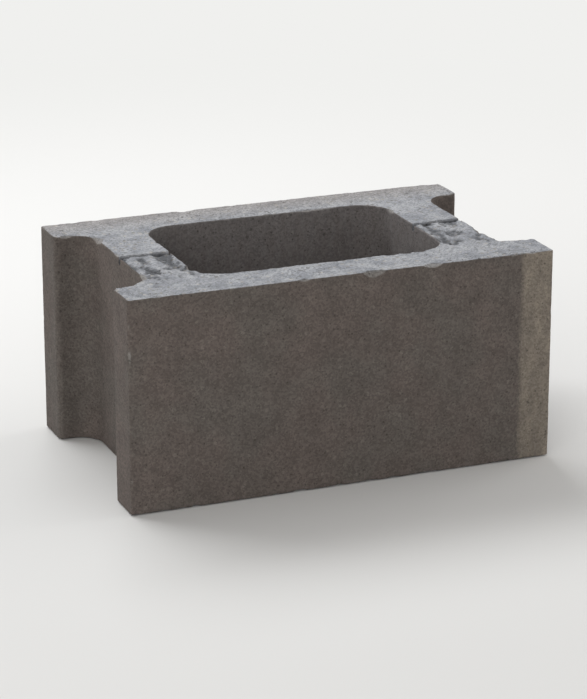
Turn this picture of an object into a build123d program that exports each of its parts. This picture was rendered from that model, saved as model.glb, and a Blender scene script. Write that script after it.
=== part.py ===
from build123d import *
import os

# Hollow concrete pier block, drawn as it stands in the wall: long side along X,
# face towards -Y, bed faces level. The origin is the middle of the lower bed face.

# Outside of the block.
block_length = 397.0
block_depth = 244.0
block_height = 194.0

# Walls round the core, measured at the upper bed face.
shell_thickness = 43.0
web_thickness = 48.0

# Upright recess in each end. The shells stand out past the web as two flanges.
recess_depth = 34.0
flange_thickness = 42.0
recess_root_radius = 22.0
flange_lip_radius = 5.0

# The one core. It is narrowest at the upper bed face and widens downwards,
# the way it was drawn off its mould.
core_corner_radius = 28.0
core_draft = 1.3

# Dividing groove across the top of each web, halfway between the faces.
groove_width = 4.5
groove_depth = 7.0

# Wear of the arrises.
upright_arris_radius = 2.5
bed_arris_radius = 1.6

core_length = block_length - 2 * (recess_depth + web_thickness)
core_width = block_depth - 2 * shell_thickness
recess_width = block_depth - 2 * flange_thickness


def on_line(vertex, x, y=None):
    """True for a corner of the plan at plus or minus x, and at plus or minus y if given."""
    near_x = abs(abs(vertex.X) - x) < 0.01
    return near_x and (y is None or abs(abs(vertex.Y) - y) < 0.01)


with BuildPart() as block:
    # Plan of the block with the recess in each end.
    with BuildSketch() as plan:
        Rectangle(block_length, block_depth)
        with Locations((block_length / 2, 0), (-block_length / 2, 0)):
            Rectangle(2 * recess_depth, recess_width, mode=Mode.SUBTRACT)
        recess_roots = plan.vertices().filter_by(lambda v: on_line(v, block_length / 2 - recess_depth))
        fillet(recess_roots, radius=recess_root_radius)
        flange_lips = plan.vertices().filter_by(lambda v: on_line(v, block_length / 2, recess_width / 2))
        fillet(flange_lips, radius=flange_lip_radius)
        block_corners = plan.vertices().filter_by(lambda v: on_line(v, block_length / 2, block_depth / 2))
        fillet(block_corners, radius=upright_arris_radius)
    extrude(amount=block_height)

    # Core, through from the upper to the lower bed face.
    with BuildSketch(Plane.XY.offset(block_height)) as core_mouth:
        RectangleRounded(core_length, core_width, core_corner_radius)
    extrude(amount=-block_height, taper=-core_draft, mode=Mode.SUBTRACT)

    # Worn arrises round both bed faces, outside and round the core.
    upper_bed = block.faces().sort_by(Axis.Z)[-1]
    lower_bed = block.faces().sort_by(Axis.Z)[0]
    fillet(upper_bed.edges() + lower_bed.edges(), radius=bed_arris_radius)

    # Dividing groove with a round bottom, sunk into the top of both webs.
    with BuildSketch(Plane.YZ) as groove_section:
        with Locations((0, block_height)):
            SlotCenterToCenter(2 * (groove_depth - groove_width / 2), groove_width, rotation=90)
    extrude(amount=block_length / 2, both=True, mode=Mode.SUBTRACT)

block.part.label = "block"
os.makedirs("parts", exist_ok=True)
export_step(block.part, "parts/block.step")
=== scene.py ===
import math
import random
from collections import namedtuple

import bpy
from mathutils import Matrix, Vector, kdtree, noise
from mathutils.geometry import delaunay_2d_cdt


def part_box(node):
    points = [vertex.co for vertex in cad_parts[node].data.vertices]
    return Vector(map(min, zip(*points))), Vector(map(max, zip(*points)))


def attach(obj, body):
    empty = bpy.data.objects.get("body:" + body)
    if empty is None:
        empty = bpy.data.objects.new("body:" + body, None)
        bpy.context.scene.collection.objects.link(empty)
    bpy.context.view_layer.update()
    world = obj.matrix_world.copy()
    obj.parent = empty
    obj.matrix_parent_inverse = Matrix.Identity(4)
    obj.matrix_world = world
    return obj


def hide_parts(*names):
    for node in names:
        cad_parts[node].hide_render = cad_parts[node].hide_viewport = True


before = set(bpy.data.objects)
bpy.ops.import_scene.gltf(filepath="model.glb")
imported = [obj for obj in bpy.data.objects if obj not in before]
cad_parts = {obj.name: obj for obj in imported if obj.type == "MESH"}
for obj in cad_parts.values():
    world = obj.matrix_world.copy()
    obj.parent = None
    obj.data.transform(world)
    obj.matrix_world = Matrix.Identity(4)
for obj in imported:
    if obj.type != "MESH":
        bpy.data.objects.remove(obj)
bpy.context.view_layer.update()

# A hollow concrete pier block with a worn, open-grained surface. The block's mesh is made
# here, at the CAD solid's sizes, and every kind of wear only takes material away.

# Outside of the block, in metres, from the frame.
_, high_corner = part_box("block")
half_length = high_corner.x
half_depth = high_corner.y
height = high_corner.z

# Plan of the block at the upper bed.
shell_thickness = 0.043
web_thickness = 0.048
recess_depth = 0.034
flange_thickness = 0.042
recess_root_radius = 0.022
flange_lip_radius = 0.005
upright_arris_radius = 0.0025
bed_arris_radius = 0.0016
core_corner_radius = 0.028
core_draft = math.radians(1.3)

# Dividing groove across the top of each web.
groove_half_width = 0.00225
groove_depth = 0.007

# Lines of the mesh beside the groove's middle, in half widths.
groove_lines = (0.0, 0.45, 0.85, 1.1, 1.35, 1.6, 2.1)

# Spacing of the mesh along the walls, up them, up the core's walls, and next to an arris,
# with how far from the arris it stays fine.
column_step = 0.0023
row_step = 0.0026
core_row_step = 0.0045
arris_step = 0.0012
arris_reach = 0.0075
arris_rows = int(arris_reach / arris_step)

# Rows over a rounded bed arris, and the fewest steps round a corner of the plan.
arc_rows = 3
fewest_arc_steps = 4

# Clear way between the lines at the groove and the next column, in columns.
groove_clearance = 0.6

# Spacing of the mesh on the beds, and the bands of points that follow their walls.
upper_bed_step = 0.0024
lower_bed_step = 0.0048
upper_bands = (0.0012, 0.0026, 0.0044)
lower_bands = (0.0014, 0.0034)
groove_column_step = 0.0016

# The loose grid on a bed, in steps: spacing of its rows, play of each point, clear way to
# the walls, and least gap between points.
grid_row = 0.866
grid_play = 0.2
grid_clearance = 0.6
grid_gap = 0.72

# Least gap between the points of a band, as a share of the way from the band before it, and
# between those along the groove, in metres.
band_gap = 0.7
groove_gap = 0.0002

# Points are looked up in squares of this side, and joined when closer than the weld.
lookup_square = 0.003
weld = 1e-7

# Lengths under this count as nothing.
tiny = 1e-6

# Paler strip on the face, beside the right-hand upright arris: a painted highlight, as of light
# caught by the arris, broken up like dust.
strip_width = 0.030
strip_fade = 0.007
strip_wander = 0.008

# The face is whatever lies this close behind the front of the block, wear included.
face_margin = 0.003

# The core's walls lie within this of the core's plan at the top, draft and wear included.
core_margin = 0.012

recess_x = half_length - recess_depth
recess_y = half_depth - flange_thickness
core_x = recess_x - web_thickness
core_y = half_depth - shell_thickness


# Plan outlines. Both run with the concrete on their left, so that the right-hand normal
# points out of it.

def stations(length, fine_start, fine_end, at_web):
    """Distances along a straight, closer together next to an arris and at the groove."""
    fine = [k * arris_step for k in range(arris_rows)]
    start = fine if fine_start else [0.0]
    end = [length - along for along in reversed(fine[1:])] if fine_end else []
    first = start[-1]
    last = end[0] if end else length
    count = max(1, round((last - first) / column_step))
    between = [first + (last - first) * k / count for k in range(1, count)]
    places = start + between + end
    if not at_web:
        return places
    half = length / 2
    across = [line * groove_half_width for line in groove_lines]
    at_groove = [half - off for off in reversed(across[1:])] + [half + off for off in across]
    clear = across[-1] + groove_clearance * column_step
    return sorted([along for along in places if abs(along - half) > clear] + at_groove)


def rounded_outline(corners):
    """Points and outward normals round a closed line whose corners (x, y, radius) are arcs."""
    arcs = []
    for k, (x, y, radius) in enumerate(corners):
        here = Vector((x, y))
        before = Vector(corners[k - 1][:2])
        after = Vector(corners[(k + 1) % len(corners)][:2])
        way_in = (here - before).normalized()
        way_out = (after - here).normalized()
        turn = math.copysign(math.pi / 2, way_in.cross(way_out))
        arcs.append((here - way_in * radius, here + way_out * radius, way_in, way_out, turn, radius))

    points = []
    for k, (start, end, way_in, way_out, turn, radius) in enumerate(arcs):
        to_centre = Vector((-way_in.y, way_in.x)) * math.copysign(1, turn)
        centre = start + to_centre * radius
        first = -to_centre
        steps = max(fewest_arc_steps, round(radius * math.pi / 2 / column_step))
        for j in range(steps):
            angle = turn * j / steps
            c = math.cos(angle)
            s = math.sin(angle)
            spoke = Vector((first.x * c - first.y * s, first.x * s + first.y * c))
            points.append((centre + spoke * radius, spoke * math.copysign(1, turn)))
        next_start, _, _, _, _, next_radius = arcs[(k + 1) % len(arcs)]
        run = next_start - end
        normal = Vector((way_out.y, -way_out.x))
        halfway = (end + next_start) / 2
        at_web = abs(way_out.x) < tiny and abs(halfway.y) < tiny
        sharp_start = radius <= flange_lip_radius
        sharp_end = next_radius <= flange_lip_radius
        for along in stations(run.length, sharp_start, sharp_end, at_web):
            points.append((end + way_out * along, normal))
    return points


def outer_outline():
    """Once round the outside, in and out of both end recesses, counter-clockwise."""
    corner = upright_arris_radius
    lip = flange_lip_radius
    root = recess_root_radius
    right = [
        (half_length, -half_depth, corner),
        (half_length, -recess_y, lip),
        (recess_x, -recess_y, root),
        (recess_x, recess_y, root),
        (half_length, recess_y, lip),
        (half_length, half_depth, corner),
    ]
    left = [(-x, -y, r) for x, y, r in right]
    return rounded_outline(right + left)


def core_outline():
    """Once round the core, clockwise."""
    r = core_corner_radius
    return rounded_outline([
        (core_x, -core_y, r),
        (-core_x, -core_y, r),
        (-core_x, core_y, r),
        (core_x, core_y, r),
    ])


# Rows up a wall: (how far in from the wall, height, upward part of the normal).

def wall_rows(step):
    """From the lower bed over its rounded arris, up the wall and over the upper arris."""
    r = bed_arris_radius
    lower = []
    for k in range(arc_rows + 1):
        angle = math.pi / 2 * k / arc_rows
        lower.append((r * (1 - math.sin(angle)), r * (1 - math.cos(angle)), -math.cos(angle)))
    near = [r + arris_step * k for k in range(1, arris_rows)]
    clear = height - 2 * near[-1]
    count = round(clear / step)
    between = [near[-1] + clear * k / count for k in range(1, count)]
    upright = near + between + [height - z for z in reversed(near)]
    upper = [(inset, height - z, -lean) for inset, z, lean in reversed(lower)]
    return lower + [(0.0, z, 0.0) for z in upright] + upper


# Wear. Chips are scoops cut across an arris, deepest in the middle.

rng = random.Random(40)

# A bed chip: least reach and depth, least share of the depth, how far small ones outnumber
# large ones, and the tilt of the cut in degrees.
bed_chip_reach = 0.0025
bed_chip_depth = 0.0007
bed_chip_share = 0.7
bed_chip_rarity = 2.2
bed_chip_tilt = (28, 62)

# An upright arris's chip, likewise, with how much more the largest reaches and cuts, and the
# least height of its middle.
upright_chip_reach = 0.003
upright_chip_more_reach = 0.011
upright_chip_depth = 0.0008
upright_chip_more_depth = 0.0024
upright_chip_rarity = 2
upright_chip_tilt = (30, 60)
upright_chip_lowest = 0.01

# The broken floor of a chip swings by this share of its depth, at so many waves per metre.
chip_swing = 0.25
chip_waves = 420.0

# Nibbles along every arris: waves per metre, shift of the pattern, what is added to the
# wave, and depth.
no_shift = Vector((0, 0, 0))
nibbles = (
    (95.0, no_shift, 0.35, 0.0007),
    (31.0, Vector((3, 1, 7)), 0.0, 0.0013),
    (310.0, no_shift, 0.0, 0.0004),
)

# An arris is rubbed down at least this much, as far down as inward, and is worn no further
# off than its band.
least_rub = 0.0003
bevel = (0.7071, 0.7071)
arris_band = 0.016

# How raw the beds' arrises are, and by how much each cut in them is made shallower.
bed_rawness = 1.0
bed_spared = 0.0

# The same for the upright arrises, with their narrower band, and how far past its corner an
# arris still counts.
upright_rawness = 0.9
upright_spared = 0.0008
upright_band = 0.014
upright_overlap = 0.0005

# A cut this deep has taken the true surface away, so what is left faces as the chip does.
full_chip = 0.0006

# A cut this deep shows only fresh concrete.
fresh_depth = 0.0016

# Relief of the whole surface: waves per metre, shift, height on a wall, and what a bed adds.
surface_waves = (
    (15.0, no_shift, 0.00022, 0.0),
    (170.0, no_shift, 0.00012, 0.00022),
    (420.0, Vector((5, 2, 9)), 0.00006, 0.00020),
)

# Open pores: cells per metre and shift, then the share of cells with one and its depth, each
# on a wall and what a bed adds.
surface_pores = (
    (110.0, no_shift, 0.14, 0.3, 0.0009, 0.0005),
    (210.0, Vector((0.3, 0.1, 0.2)), 0.12, 0.25, 0.0005, 0.0004),
)

# Radius of a pore in cells: the least, and what the largest adds.
pore_radius = 0.2
pore_more_radius = 0.28

# Spreads the cells' places so that neighbours draw different lots.
lot_spread = 37.0
half_cell = Vector((0.5, 0.5, 0.5))

# Next to an arris the relief stays this shallow, and it deepens by this share of the way in.
arris_hollow = 0.0006
hollow_growth = 0.3

# Broken web tops: clear way past the web's sides and the groove, and how far the breaking
# fades in from the groove and from the front shell.
break_margin = 0.004
break_past_groove = 0.002
break_fade_at_groove = 0.006
break_fade_at_shell = 0.012

# The broken patches: how wide they are for their length, waves per metre, shift, how fast
# the finer waves fade, how many times finer each is, how many there are, and the patches'
# mean depth and contrast.
patch_squeeze = 0.5
patch_waves = 105.0
patch_shift = Vector((5, 9, 2))
patch_fade = 0.7
patch_lacunarity = 2.0
patch_octaves = 4
patch_level = 0.5
patch_contrast = 1.7

# Ridges within them, and their depth: the least, and what the ridges add.
ridge_waves = 130.0
ridge_octaves = 3
break_depth = 0.0008
break_more_depth = 0.0026

# Breaking this deep gets the full painted shade.
fully_shaded_depth = 0.0022

# The groove: how far past the web's sides it may be cut, the wander of its line, the width
# of its ragged rim in half widths, and their waves per metre.
groove_margin = 0.006
groove_wander = 0.0005
groove_wander_waves = 60.0
groove_rim = 1.32
groove_rim_swing = 0.35
groove_rim_waves = (160.0, 40.0)

# The groove fades out down the web's sides over this, and the painted shade in it is this strong.
groove_side_fade = 0.02
groove_shade = 1.6


class Chip:
    """A scoop out of an arris: its centre, reach and depth, and the share cut down and inward."""

    def __init__(self, centre, reach, depth, tilt):
        self.centre = centre
        self.reach = reach
        self.depth = depth
        self.across = (math.cos(tilt), math.sin(tilt))


# An arris next to a point of the true surface: its nearest place, how far down and inward
# the point lies from it, which ways those are, its chips, how raw it is, and how much of a
# cut it is spared.
Arris = namedtuple("Arris", "place down inward down_way inward_way chips rawness spared")


def chips_along(outline, z, count, longest, deepest):
    """Chips at random places on a bed arris, many small ones and a few large ones."""
    chips = []
    for _ in range(count):
        place, _ = rng.choice(outline)
        size = rng.random() ** bed_chip_rarity
        reach = bed_chip_reach + (longest - bed_chip_reach) * size
        share = rng.uniform(bed_chip_share, 1.0)
        depth = bed_chip_depth + (deepest - bed_chip_depth) * size * share
        tilt = math.radians(rng.uniform(*bed_chip_tilt))
        chips.append(Chip(Vector((place.x, place.y, z)), reach, depth, tilt))
    return chips


def chips_up(x, y, count):
    """Chips at random heights on an upright arris."""
    chips = []
    for _ in range(count):
        size = rng.random() ** upright_chip_rarity
        reach = upright_chip_reach + upright_chip_more_reach * size
        depth = upright_chip_depth + upright_chip_more_depth * size
        tilt = math.radians(rng.uniform(*upright_chip_tilt))
        centre = Vector((x, y, rng.uniform(upright_chip_lowest, height)))
        chips.append(Chip(centre, reach, depth, tilt))
    return chips


def arris_cut(arris):
    """How deep a point next to an arris is cut, and the share of the cut down and inward."""
    if arris.down + arris.inward > arris_band:
        return 0.0, bevel
    ragged = 0.0
    for waves, shift, lift, depth in nibbles:
        ragged += max(0.0, lift + noise.noise(arris.place * waves + shift)) * depth
    deepest = arris.rawness * ragged + least_rub - (arris.down + arris.inward) * bevel[0]
    across = bevel
    for chip in arris.chips:
        off = (arris.place - chip.centre).length
        if off < chip.reach:
            rough = 1.0 + chip_swing * noise.noise(arris.place * chip_waves)
            depth = chip.depth * (1 - (off / chip.reach) ** 2) * rough
            cut = depth - arris.down * chip.across[0] - arris.inward * chip.across[1]
            if cut > deepest:
                deepest = cut
                across = chip.across
    return max(0.0, deepest), across


def pits(p, per_metre, share, depth):
    """Round open pores: in some cells of a Voronoi pattern there is one, in the others none."""
    distances, places = noise.voronoi(p * per_metre)
    lot = 0.5 + 0.5 * noise.cell(places[0] * lot_spread + half_cell)
    if lot > share:
        return 0.0
    radius = pore_radius + pore_more_radius * lot / share
    return depth * max(0.0, 1 - (distances[0] / radius) ** 2)


def surface_hollow(p, bed):
    """How far the surface lies below its true place: waves, grain and pores."""
    relief = 0.0
    for waves, shift, on_wall, on_bed in surface_waves:
        relief += (on_wall + on_bed * bed) * (1 + noise.noise(p * waves + shift))
    pores = 0.0
    for cells, shift, share, bed_share, depth, bed_depth in surface_pores:
        pores += pits(p + shift, cells, share + bed_share * bed, depth + bed_depth * bed)
    return relief + pores


def broken_web(p):
    """The front halves of both webs are broken up at the top, in streaks that run with them."""
    on_web = core_x - break_margin < abs(p.x) < recess_x + break_margin
    if not (on_web and -core_y < p.y < break_past_groove):
        return 0.0
    from_groove = (break_past_groove - p.y) / break_fade_at_groove
    from_shell = (p.y + core_y) / break_fade_at_shell
    fade = min(1.0, from_groove, from_shell)
    along = Vector((p.x, p.y * patch_squeeze, p.z)) * patch_waves + patch_shift
    pattern = noise.fractal(along, patch_fade, patch_lacunarity, patch_octaves)
    patch = patch_level + patch_contrast * pattern
    ridges = noise.turbulence(p * ridge_waves, ridge_octaves, True)
    return fade * max(0.0, min(1.0, patch)) * (break_depth + break_more_depth * ridges)


def groove_drop(x, y):
    """Depth of the dividing groove at a place on the upper bed, with its ragged rim."""
    if not core_x - groove_margin < abs(x) < recess_x + groove_margin:
        return 0.0
    wander = groove_wander * noise.noise(Vector((x * groove_wander_waves, 0.0, 4.0)))
    along, across = groove_rim_waves
    swing = groove_rim_swing * noise.noise(Vector((x * along, y * across, 1.0)))
    rim = groove_half_width * (groove_rim + swing)
    off = abs(y - wander) / rim
    if off >= 1.0:
        return 0.0
    return groove_depth * (1 - off ** 3) ** 0.5


# The mesh of the block.

outer = outer_outline()
core = core_outline()

upper_chips = chips_along(outer, height, count=62, longest=0.013, deepest=0.0042)
upper_chips += chips_along(core, height, count=26, longest=0.011, deepest=0.0035)
lower_chips = chips_along(outer, 0.0, count=30, longest=0.012, deepest=0.0035)
lower_chips += chips_along(core, 0.0, count=10, longest=0.009, deepest=0.0028)
upright_chips = []
for side_x in (-1, 1):
    for side_y in (-1, 1):
        upright_chips += chips_up(side_x * half_length, side_y * half_depth, count=7)
        upright_chips += chips_up(side_x * half_length, side_y * recess_y, count=4)


class Plan:
    """The outlines of the outside and of the core at one height, where the core has widened."""

    def __init__(self, z):
        widening = (height - z) * math.tan(core_draft)
        self.outer = outer
        self.core = [(place - side * widening, side) for place, side in core]
        self.all = self.outer + self.core
        self.tree = kdtree.KDTree(len(self.all))
        for index, (place, _) in enumerate(self.all):
            self.tree.insert((place.x, place.y, 0.0), index)
        self.tree.balance()

    def depth(self, x, y):
        """How far inside the concrete a place is, with the nearest wall's normal and foot."""
        _, index, _ = self.tree.find((x, y, 0.0))
        place, normal = self.all[index]
        return (place - Vector((x, y))).dot(normal), normal, place


def arrises_near(p, depth, wall_normal, foot):
    """The arrises that may be cut at a point: both beds', then the upright ones beside it."""
    inward_way = Vector((-wall_normal.x, -wall_normal.y, 0.0))
    for level, way, chips in ((height, -1.0, upper_chips), (0.0, 1.0, lower_chips)):
        place = Vector((foot.x, foot.y, level))
        down = abs(level - p.z)
        down_way = Vector((0, 0, way))
        yield Arris(place, down, max(0.0, depth), down_way, inward_way,
                    chips, bed_rawness, bed_spared)

    from_end = half_length - abs(p.x)
    from_face = half_depth - abs(p.y)
    from_lip = abs(p.y) - recess_y
    side_x = math.copysign(1, p.x)
    side_y = math.copysign(1, p.y)
    down_way = Vector((-side_x, 0.0, 0.0))
    for beside, toward, corner in ((from_face, -1.0, half_depth), (from_lip, 1.0, recess_y)):
        if from_end + abs(beside) > upright_band or beside < -upright_overlap:
            continue
        place = Vector((side_x * half_length, side_y * corner, p.z))
        inward_way = Vector((0.0, side_y * toward, 0.0))
        yield Arris(place, max(0.0, from_end), max(0.0, beside), down_way, inward_way,
                    upright_chips, upright_rawness, upright_spared)


def weathered(p, normal, depth, wall_normal, foot, bed):
    """Where a point of the true surface lies once worn, how fresh it is, and how much painted shade
    it gets in the groove and broken webs.
    """
    moved = Vector(p)
    facing = Vector(normal)
    worn = 0.0
    hollow_shade = 0.0

    # The groove's depth also sets the painted shade in it.
    drop = groove_drop(p.x, p.y)
    if drop > 0 and p.z > height - groove_side_fade:
        drop *= 1 - (height - p.z) / groove_side_fade
        moved.z -= drop
        hollow_shade = bed * min(1.0, groove_shade * drop / groove_depth)

    for arris in arrises_near(p, depth, wall_normal, foot):
        cut, across = arris_cut(arris)
        cut -= arris.spared
        if cut > 0:
            taken = arris.inward_way * across[1] + arris.down_way * across[0]
            moved += taken * cut
            facing = facing.lerp(-taken, min(1.0, cut / full_chip)).normalized()
            worn = max(worn, cut / fresh_depth)

    from_arris = max(depth, min(p.z, height - p.z))
    hollow = min(surface_hollow(p, bed), arris_hollow + hollow_growth * from_arris)
    if bed > 0.5 and p.z > height / 2:
        broken = broken_web(p)
        hollow += broken
        # Deeper breaking gets more painted shade.
        hollow_shade = max(hollow_shade, broken / fully_shaded_depth)
    moved -= facing * hollow
    return moved, min(1.0, worn) * (1 - min(1.0, hollow_shade)), min(1.0, hollow_shade)


class BlockMesh:
    """Gathers the block's vertices and faces with what the material needs to know of each."""

    def __init__(self):
        self.points = []
        self.faces = []
        self.worn = []
        self.hollow_shade = []
        self.bed = []

    def add(self, p, normal, depth, wall_normal, foot, bed):
        place, worn, hollow_shade = weathered(p, normal, depth, wall_normal, foot, bed)
        self.points.append(place)
        self.worn.append(worn)
        self.hollow_shade.append(hollow_shade)
        self.bed.append(bed)
        return len(self.points) - 1

    def wall(self, outline, rows, draft):
        """A wall over an outline. Returns its lowest and highest rings of vertices."""
        rings = []
        for inset, z, lean in rows:
            widening = (height - z) * math.tan(draft)
            ring = []
            for place, side in outline:
                flat = place - side * (inset + widening)
                level = math.sqrt(max(0.0, 1 - lean * lean))
                normal = Vector((side.x * level, side.y * level, lean))
                p = Vector((flat.x, flat.y, z))
                foot = place - side * widening
                ring.append(self.add(p, normal, inset, side, foot, abs(lean)))
            rings.append(ring)
        count = len(outline)
        for below, above in zip(rings, rings[1:]):
            for k in range(count):
                n = (k + 1) % count
                self.faces.append((below[k], below[n], above[n], above[k]))
        return rings[0], rings[-1]

    def bed_face(self, z, up, rings, plan, inner_points):
        """A bed between the outer ring and the core's ring, triangulated with inner points."""
        flat = [place - side * bed_arris_radius for place, side in plan.all]
        shared = [v for ring in rings for v in ring]
        edges = []
        for start, line in ((0, plan.outer), (len(plan.outer), plan.core)):
            count = len(line)
            edges += [(start + k, start + (k + 1) % count) for k in range(count)]
        ring_count = len(flat)
        outer_count = len(plan.outer)
        flat += inner_points
        out, _, triangles, origins, _, _ = delaunay_2d_cdt(flat, edges, [], 1, weld)
        normal = Vector((0, 0, up))
        vertex_of = []
        source_of = []
        for place, origin in zip(out, origins):
            source = origin[0] if origin else -1
            source_of.append(source)
            if 0 <= source < ring_count:
                vertex_of.append(shared[source])
                continue
            depth, side, foot = plan.depth(place.x, place.y)
            p = Vector((place.x, place.y, z))
            vertex_of.append(self.add(p, normal, depth, side, foot, 1.0))
        for triangle in triangles:
            if all(outer_count <= source_of[k] < ring_count for k in triangle):
                continue
            face = [vertex_of[k] for k in triangle]
            self.faces.append(face if up > 0 else face[::-1])


def bed_points(plan, step, bands, groove):
    """Places inside a bed: lines along the groove, bands next to the walls, a loose grid."""
    taken = {}

    def square(x, y):
        return int(x // lookup_square), int(y // lookup_square)

    def near(x, y, gap):
        i, j = square(x, y)
        for u in (i - 1, i, i + 1):
            for v in (j - 1, j, j + 1):
                for other_x, other_y in taken.get((u, v), ()):
                    if (other_x - x) ** 2 + (other_y - y) ** 2 < gap * gap:
                        return True
        return False

    def take(x, y):
        taken.setdefault(square(x, y), []).append((x, y))

    for place, side in plan.all:
        inside = place - side * bed_arris_radius
        take(inside.x, inside.y)
    points = []

    def offer(x, y, gap):
        if not near(x, y, gap):
            take(x, y)
            points.append(Vector((x, y)))

    if groove:
        lines = [0.0]
        for line in groove_lines[1:]:
            lines += [line * groove_half_width, -line * groove_half_width]
        count = int(web_thickness / groove_column_step)
        for side in (-1, 1):
            for k in range(1, count):
                x = side * (core_x + web_thickness * k / count)
                for y in lines:
                    offer(x, y, groove_gap)
    band_before = 0.0
    for band in bands:
        gap = band_gap * (band - band_before)
        band_before = band
        for place, side in plan.all:
            inside = place - side * (band + bed_arris_radius)
            offer(inside.x, inside.y, gap)
    columns = int(2 * half_length / step)
    rows = int(2 * half_depth / (step * grid_row))
    for j in range(1, rows):
        for k in range(columns):
            play_x = rng.uniform(-grid_play, grid_play) * step
            play_y = rng.uniform(-grid_play, grid_play) * step
            x = -half_length + (k + 0.5 * (j % 2)) * step + play_x
            y = -half_depth + j * step * grid_row + play_y
            depth, _, _ = plan.depth(x, y)
            if depth > bed_arris_radius + grid_clearance * step:
                offer(x, y, grid_gap * step)
    return points


def block_mesh():
    """The whole block: its outer wall, the core's wall and both beds."""
    mesh = BlockMesh()
    outer_rings = mesh.wall(outer, wall_rows(row_step), 0.0)
    core_rings = mesh.wall(core, wall_rows(core_row_step), core_draft)
    beds = (
        (0, 0.0, -1.0, lower_bed_step, lower_bands, False),
        (1, height, 1.0, upper_bed_step, upper_bands, True),
    )
    for which, z, up, step, bands, groove in beds:
        plan = Plan(z)
        inner = bed_points(plan, step, bands, groove)
        mesh.bed_face(z, up, (outer_rings[which], core_rings[which]), plan, inner)
    data = bpy.data.meshes.new("block_concrete")
    data.from_pydata(mesh.points, [], mesh.faces)
    for name, values in (("worn", mesh.worn), ("hollow_shade", mesh.hollow_shade), ("bed", mesh.bed)):
        layer = data.attributes.new(name, "FLOAT", "POINT")
        layer.data.foreach_set("value", values)
    data.polygons.foreach_set("use_smooth", [True] * len(data.polygons))
    data.update()
    data.validate()
    return data


# Materials.

def linear(red, green, blue):
    """A colour written as 0 to 255 on a screen, as a shader's linear colour."""
    out = []
    for c in (red, green, blue):
        c /= 255
        out.append(c / 12.92 if c <= 0.04045 else ((c + 0.055) / 1.055) ** 2.4)
    return (*out, 1.0)


# Cement on the faces, darker and browner than the beds: partly painted shade on the faces.
cement_redder = linear(101, 92, 87)
cement_plainer = linear(98, 92, 87)
cement_dark = linear(80, 73, 69)
# Painted highlight of the paler strip, broken up like dust.
strip_highlight_dust = linear(136, 127, 115)
# Core walls painted paler: partly cleaner concrete, partly painted light against the core's shade.
core_lifted_grey = linear(115, 111, 110)

# Beds with painted skylight, fresh breaks, and painted shade in the groove and broken webs.
# Painted skylight: the beds are kept paler and bluer than the faces.
skylit_bed_darker = linear(131, 133, 138)
skylit_bed_paler = linear(158, 159, 162)
bed_brown = linear(142, 134, 127)
fresh_darker = linear(116, 112, 108)
fresh_paler = linear(147, 144, 141)
# Painted shade in the groove and the broken webs.
hollow_shade_colour = linear(76, 77, 80)

# Aggregate, and painted shade in the pores.
stone_darkest = linear(84, 80, 77)
stone_palest = linear(176, 170, 160)
pore_shade = linear(48, 44, 40)

# Stage.
floor_grey = linear(214, 213, 211)
backdrop_pale = linear(240, 240, 238)

# Patterns of the concrete, in waves or cells per metre.
hue_waves = 16.0
tone_waves = 42.0
strip_edge_waves = 45.0
highlight_patch_waves = 28.0
streak_waves = 150.0
bed_waves = 60.0
fresh_waves = 240.0
shade_mottle_waves = 110.0
stone_cells = 190.0
sand_cells = 640.0
pore_cells = 330.0
hole_cells = 150.0
hole_edge_waves = 520.0
grain_waves = 900.0
roughness_waves = 130.0

# Scaled so, the streaks run up the wall.
streak_stretch = (1.0, 1.0, 0.3)

# Noise lies mostly between these.
noise_low = 0.3
noise_high = 0.7

# How strongly the cement is mottled, and how brown the beds turn, starting this far in front
# of the core's rear wall.
mottle_share = 0.42
brown_share = 0.5
brown_lead = 0.01

# What a closed face shows and what an open bed or break shows: shares of stone and of painted shade
# in the pores, swing of the sand's tone, and relief in metres.
stone_shares = (0.07, 0.5)
pore_shade_shares = (0.45, 0.6)
sand_swings = (0.17, 0.2)
grain_relief = (0.00045, 0.0009)
sand_relief = (-0.0002, -0.0006)

# How ragged the larger pores are, and what their size gains to make up for it, in cells.
hole_raggedness = 0.26
hole_gain = 0.10

# Depth of the pores' relief, and strength of the bump.
pore_relief = -0.0006
bump_strength = 0.85

# Shine.
concrete_roughness = (0.86, 0.97)
concrete_specular = 0.3
floor_roughness = 0.9
floor_specular = 0.1


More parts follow.
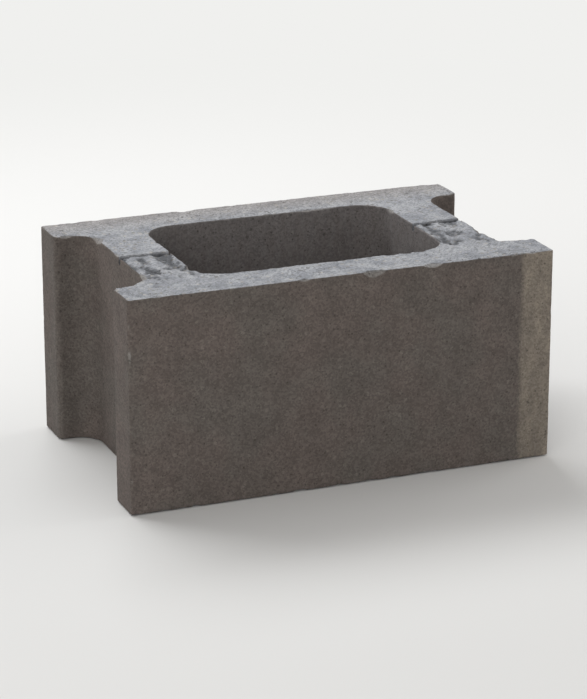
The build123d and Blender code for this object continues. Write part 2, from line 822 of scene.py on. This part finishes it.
class Nodes:
    """Short names for the nodes that the materials here are built from."""

    def __init__(self, material):
        material.use_nodes = True
        self.tree = material.node_tree
        self.tree.nodes.clear()

    def new(self, kind, **settings):
        node = self.tree.nodes.new(kind)
        for name, value in settings.items():
            setattr(node, name, value)
        return node

    def put(self, socket, value):
        if isinstance(value, bpy.types.NodeSocket):
            self.tree.links.new(value, socket)
        else:
            socket.default_value = value

    def stretched(self, place, amounts):
        node = self.new("ShaderNodeVectorMath", operation="MULTIPLY")
        self.put(node.inputs[0], place)
        self.put(node.inputs[1], amounts)
        return node.outputs[0]

    def noise(self, place, waves, detail=3.0, roughness=0.55):
        node = self.new("ShaderNodeTexNoise")
        self.put(node.inputs["Vector"], place)
        node.inputs["Scale"].default_value = waves
        node.inputs["Detail"].default_value = detail
        node.inputs["Roughness"].default_value = roughness
        return node.outputs["Fac"]

    def cells(self, place, per_metre):
        """Distance to the middle of each place's cell, and the cell's own random colour."""
        node = self.new("ShaderNodeTexVoronoi")
        self.put(node.inputs["Vector"], place)
        node.inputs["Scale"].default_value = per_metre
        return node.outputs["Distance"], node.outputs["Color"]

    def ramp(self, value, low, high, start=0.0, end=1.0):
        """value between low and high, spread smoothly over start to end."""
        node = self.new("ShaderNodeMapRange", interpolation_type="SMOOTHSTEP")
        self.put(node.inputs["Value"], value)
        node.inputs["From Min"].default_value = low
        node.inputs["From Max"].default_value = high
        node.inputs["To Min"].default_value = start
        node.inputs["To Max"].default_value = end
        return node.outputs["Result"]

    def by_openness(self, openness, pair):
        """The first of a pair where the surface is closed, the second where it is open."""
        return self.ramp(openness, 0.0, 1.0, *pair)

    def math(self, operation, a, b=0.0):
        node = self.new("ShaderNodeMath", operation=operation)
        self.put(node.inputs[0], a)
        self.put(node.inputs[1], b)
        return node.outputs[0]

    def mix(self, share, a, b, blend="MIX"):
        node = self.new("ShaderNodeMix", data_type="RGBA", blend_type=blend)
        self.put(node.inputs["Factor"], share)
        self.put(node.inputs["A"], a)
        self.put(node.inputs["B"], b)
        return node.outputs["Result"]

    def attribute(self, name):
        return self.new("ShaderNodeAttribute", attribute_name=name).outputs["Fac"]

    def axes(self, place):
        node = self.new("ShaderNodeSeparateXYZ")
        self.put(node.inputs[0], place)
        return node.outputs

    def channel(self, colour, index):
        node = self.new("ShaderNodeSeparateColor")
        self.put(node.inputs[0], colour)
        return node.outputs[index]

    def grey(self, value):
        node = self.new("ShaderNodeCombineColor")
        for k in range(3):
            self.put(node.inputs[k], value)
        return node.outputs[0]


def cement(n, place):
    """Brownish grey, drifting between a redder and a plainer grey, and mottled darker."""
    drift = n.ramp(n.noise(place, hue_waves, 4.0), low=0.36, high=0.64)
    colour = n.mix(drift, cement_redder, cement_plainer)
    tone = n.ramp(n.noise(place, tone_waves, 5.0, 0.6), low=0.32, high=0.68)
    return n.mix(n.math("MULTIPLY", tone, mottle_share), colour, cement_dark)


def with_highlight_strip(n, place, streaks, colour):
    """A paler strip down the face beside its right-hand upright arris: painted highlight, broken up
    like dust.
    """
    x_place, y_place, _ = n.axes(place)
    wander = n.math("MULTIPLY", n.noise(place, strip_edge_waves, 5.0, 0.6), strip_wander)
    inner_side = half_length - strip_width + strip_wander / 2
    strip = n.ramp(
        n.math("ADD", x_place, wander),
        inner_side - strip_fade / 2,
        inner_side + strip_fade / 2,
    )
    on_face = n.math("LESS_THAN", y_place, face_margin - half_depth)
    strip = n.math("MULTIPLY", strip, on_face)
    highlight_dust = n.ramp(streaks, noise_low, noise_high, start=0.60, end=1.0)
    highlight_patches = n.noise(place, highlight_patch_waves, 3.0)
    highlight_patches = n.ramp(highlight_patches, low=0.35, high=0.65, start=0.7, end=1.0)
    highlight_dust = n.math("MULTIPLY", highlight_dust, highlight_patches)
    return n.mix(n.math("MULTIPLY", strip, highlight_dust), colour, strip_highlight_dust)


def with_lightened_core_walls(n, place, streaks, colour):
    """The core's walls are greyer and paler, partly as cleaner concrete, partly as painted light
    lifting the core's shade, with faint upright streaks.
    """
    x_place, y_place, _ = n.axes(place)
    across_core = n.math("LESS_THAN", n.math("ABSOLUTE", x_place), core_x + core_margin)
    along_core = n.math("LESS_THAN", n.math("ABSOLUTE", y_place), core_y + core_margin)
    in_core = n.math("MULTIPLY", across_core, along_core)
    drawn = n.ramp(streaks, noise_low, noise_high, start=0.65, end=0.95)
    return n.mix(n.math("MULTIPLY", in_core, drawn), colour, core_lifted_grey)


def with_skylit_beds(n, place, bed, colour):
    """Beds greyer, bluer and paler than the faces, partly open texture, partly painted skylight;
    browner towards the back.
    """
    _, y_place, _ = n.axes(place)
    tone = n.ramp(n.noise(place, bed_waves, 4.0), noise_low, noise_high)
    skylit_bed_colour = n.mix(tone, skylit_bed_darker, skylit_bed_paler)
    backward = n.ramp(y_place, core_y - brown_lead, half_depth)
    browner = n.math("MULTIPLY", backward, brown_share)
    skylit_bed_colour = n.mix(browner, skylit_bed_colour, bed_brown)
    return n.mix(n.ramp(bed, low=0.35, high=0.95), colour, skylit_bed_colour)


def with_wear_and_shade(n, place, worn, hollow_shade, colour):
    """Fresh concrete where an arris is broken, and painted shade in the groove and the broken webs.
    """
    fresh = n.mix(n.noise(place, fresh_waves, 3.0), fresh_darker, fresh_paler)
    broken = n.ramp(worn, low=0.08, high=0.8, start=0.0, end=0.75)
    colour = n.mix(broken, colour, fresh)
    # Painted shade in the groove and broken webs, mottled.
    shade_mottle = n.ramp(n.noise(place, shade_mottle_waves), low=0.3, high=0.6, start=0.55, end=0.95)
    shaded = n.math("MULTIPLY", n.ramp(hollow_shade, low=0.05, high=0.75), shade_mottle)
    return n.mix(shaded, colour, hollow_shade_colour)


def with_stones(n, place, openness, colour):
    """Fine stone, up to some 5 mm, shows here and there, mostly where the surface is open."""
    distance, own_colour = n.cells(place, stone_cells)
    tone = n.mix(n.channel(own_colour, 1), stone_darkest, stone_palest)
    is_stone = n.ramp(n.channel(own_colour, 0), low=0.62, high=0.7)
    within = n.ramp(distance, low=0.42, high=0.3)
    shows = n.math("MULTIPLY", is_stone, within)
    share = n.math("MULTIPLY", shows, n.by_openness(openness, stone_shares))
    return n.mix(share, colour, tone)


def with_sand(n, sand_colour, openness, colour):
    """Sand grains of about 1.5 mm. Cement covers them on the faces, so they show less there."""
    swing = n.by_openness(openness, sand_swings)
    lot = n.ramp(n.channel(sand_colour, 0), 0.0, 1.0, start=-1.0, end=1.0)
    tone = n.math("ADD", n.math("MULTIPLY", lot, swing), 1.0)
    return n.mix(1.0, colour, n.grey(tone), "MULTIPLY")


def pores(n, place):
    """One where a pore is: many fine, round ones and a few larger, ragged ones."""
    distance, own_colour = n.cells(place, pore_cells)
    size = n.ramp(n.channel(own_colour, 2), low=0.55, high=1.0, start=0.0, end=0.3)
    pore = n.math("LESS_THAN", distance, size)
    distance, own_colour = n.cells(place, hole_cells)
    size = n.ramp(n.channel(own_colour, 1), low=0.72, high=1.0, start=0.0, end=0.24)
    torn = n.math("MULTIPLY", n.noise(place, hole_edge_waves, 2.0), hole_raggedness)
    size = n.math("ADD", size, hole_gain)
    hole = n.math("LESS_THAN", n.math("ADD", distance, torn), size)
    return n.math("MAXIMUM", pore, hole)


def fine_relief(n, place, sand_distance, pore, openness):
    """Relief too fine for the mesh, in metres: grain, sand and pores."""
    grain = n.noise(place, grain_waves, 4.0, 0.65)
    grain = n.math("MULTIPLY", grain, n.by_openness(openness, grain_relief))
    sand = n.math("MULTIPLY", sand_distance, n.by_openness(openness, sand_relief))
    hollow = n.math("MULTIPLY", pore, pore_relief)
    bump = n.new("ShaderNodeBump")
    bump.inputs["Strength"].default_value = bump_strength
    bump.inputs["Distance"].default_value = 1.0
    n.put(bump.inputs["Height"], n.math("ADD", n.math("ADD", grain, sand), hollow))
    return bump.outputs["Normal"]


def concrete_material():
    """Pressed block concrete: sand and fine stone in cement, mottled and porous, with painted light
    and shade on it.
    """
    material = bpy.data.materials.new("concrete")
    n = Nodes(material)
    place = n.new("ShaderNodeTexCoord").outputs["Object"]
    bed = n.attribute("bed")
    worn = n.attribute("worn")
    hollow_shade = n.attribute("hollow_shade")
    openness = n.math("MAXIMUM", bed, worn)
    streaks = n.noise(n.stretched(place, streak_stretch), streak_waves, 4.0)
    sand_distance, sand_colour = n.cells(place, sand_cells)
    pore = pores(n, place)

    colour = cement(n, place)
    colour = with_highlight_strip(n, place, streaks, colour)
    colour = with_lightened_core_walls(n, place, streaks, colour)
    colour = with_skylit_beds(n, place, bed, colour)
    colour = with_wear_and_shade(n, place, worn, hollow_shade, colour)
    colour = with_stones(n, place, openness, colour)
    colour = with_sand(n, sand_colour, openness, colour)
    # Pores are darkened: painted shade in the holes.
    pore_shade_share = n.math("MULTIPLY", pore, n.by_openness(openness, pore_shade_shares))
    colour = n.mix(pore_shade_share, colour, pore_shade)

    roughness = n.noise(place, roughness_waves)
    roughness = n.ramp(roughness, noise_low, noise_high, *concrete_roughness)
    shader = n.new("ShaderNodeBsdfPrincipled")
    n.put(shader.inputs["Base Color"], colour)
    n.put(shader.inputs["Roughness"], roughness)
    n.put(shader.inputs["Normal"], fine_relief(n, place, sand_distance, pore, openness))
    shader.inputs["Specular IOR Level"].default_value = concrete_specular
    output = n.new("ShaderNodeOutputMaterial")
    n.put(output.inputs["Surface"], shader.outputs["BSDF"])
    return material


# The floor turns into the backdrop between these distances from the block's middle.
backdrop_start = 0.45
backdrop_end = 1.6


def floor_material():
    """A pale floor that takes the block's shadow and turns into a plain pale backdrop."""
    material = bpy.data.materials.new("floor")
    n = Nodes(material)
    shader = n.new("ShaderNodeBsdfPrincipled")
    shader.inputs["Base Color"].default_value = floor_grey
    shader.inputs["Roughness"].default_value = floor_roughness
    shader.inputs["Specular IOR Level"].default_value = floor_specular
    backdrop = n.new("ShaderNodeEmission")
    backdrop.inputs["Color"].default_value = backdrop_pale
    away = n.new("ShaderNodeVectorMath", operation="LENGTH")
    n.put(away.inputs[0], n.new("ShaderNodeTexCoord").outputs["Object"])
    rays = n.new("ShaderNodeLightPath").outputs
    seen = n.math("MAXIMUM", rays["Is Camera Ray"], rays["Is Glossy Ray"])
    seen = n.math("MAXIMUM", seen, rays["Is Transmission Ray"])
    share = n.math("MULTIPLY", n.ramp(away.outputs["Value"], backdrop_start, backdrop_end), seen)
    surface = n.new("ShaderNodeMixShader")
    n.put(surface.inputs[0], share)
    n.put(surface.inputs[1], shader.outputs["BSDF"])
    n.put(surface.inputs[2], backdrop.outputs["Emission"])
    output = n.new("ShaderNodeOutputMaterial")
    n.put(output.inputs["Surface"], surface.outputs["Shader"])
    return material


# The piece.

block = bpy.data.objects.new("block_concrete", block_mesh())
bpy.context.scene.collection.objects.link(block)
block.data.materials.append(concrete_material())
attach(block, "root")
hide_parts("block")


# Stage: floor, lamps and world.

floor_half_side = 8.0
middle = Vector((0.0, 0.0, height / 2))


def add_floor():
    data = bpy.data.meshes.new("floor")
    s = floor_half_side
    corners = [(-s, -s, 0), (s, -s, 0), (s, s, 0), (-s, s, 0)]
    data.from_pydata(corners, [], [(0, 1, 2, 3)])
    data.materials.append(floor_material())
    floor = bpy.data.objects.new("floor", data)
    bpy.context.scene.collection.objects.link(floor)


def add_lamp(name, place, width, depth, watts, colour):
    """A rectangular area lamp that shines at the block's middle."""
    data = bpy.data.lights.new(name, "AREA")
    data.shape = "RECTANGLE"
    data.size = width
    data.size_y = depth
    data.energy = watts
    data.color = colour
    lamp = bpy.data.objects.new(name, data)
    lamp.location = place
    lamp.rotation_euler = (middle - Vector(place)).to_track_quat("-Z", "Y").to_euler()
    bpy.context.scene.collection.objects.link(lamp)


def add_world(strength):
    world = bpy.data.worlds.new("studio")
    bpy.context.scene.world = world
    world.use_nodes = True
    background = world.node_tree.nodes["Background"]
    background.inputs["Color"].default_value = (1.0, 1.0, 1.0, 1.0)
    background.inputs["Strength"].default_value = strength


add_floor()
add_lamp("key", (-0.5, 1.5, 2.0), width=2.4, depth=1.0, watts=56.0, colour=(0.97, 0.985, 1.0))
add_lamp("fill", (-1.6, -2.2, 1.2), width=1.8, depth=1.8, watts=24.0, colour=(1.0, 0.985, 0.96))
add_lamp("side", (2.1, 0.2, 1.3), width=1.8, depth=1.8, watts=17.5, colour=(1.0, 0.99, 0.98))
add_world(strength=0.46)


# Camera, on the side from which the photo shows the right-hand pier.

azimuth = math.radians(-22.0)
elevation = math.radians(18.5)
distance = 2.6
focal_length = 148.0

aim = Vector((0.0, 0.0, 0.088))
camera_data = bpy.data.cameras.new("camera")
camera_data.lens = focal_length
camera = bpy.data.objects.new("camera", camera_data)
away = Vector((
    math.sin(azimuth) * math.cos(elevation),
    -math.cos(azimuth) * math.cos(elevation),
    math.sin(elevation),
))
camera.location = aim + away * distance
camera.rotation_euler = (-away).to_track_quat("-Z", "Y").to_euler()
bpy.context.scene.collection.objects.link(camera)
bpy.context.scene.camera = camera
bpy.context.scene.view_settings.view_transform = "Standard"
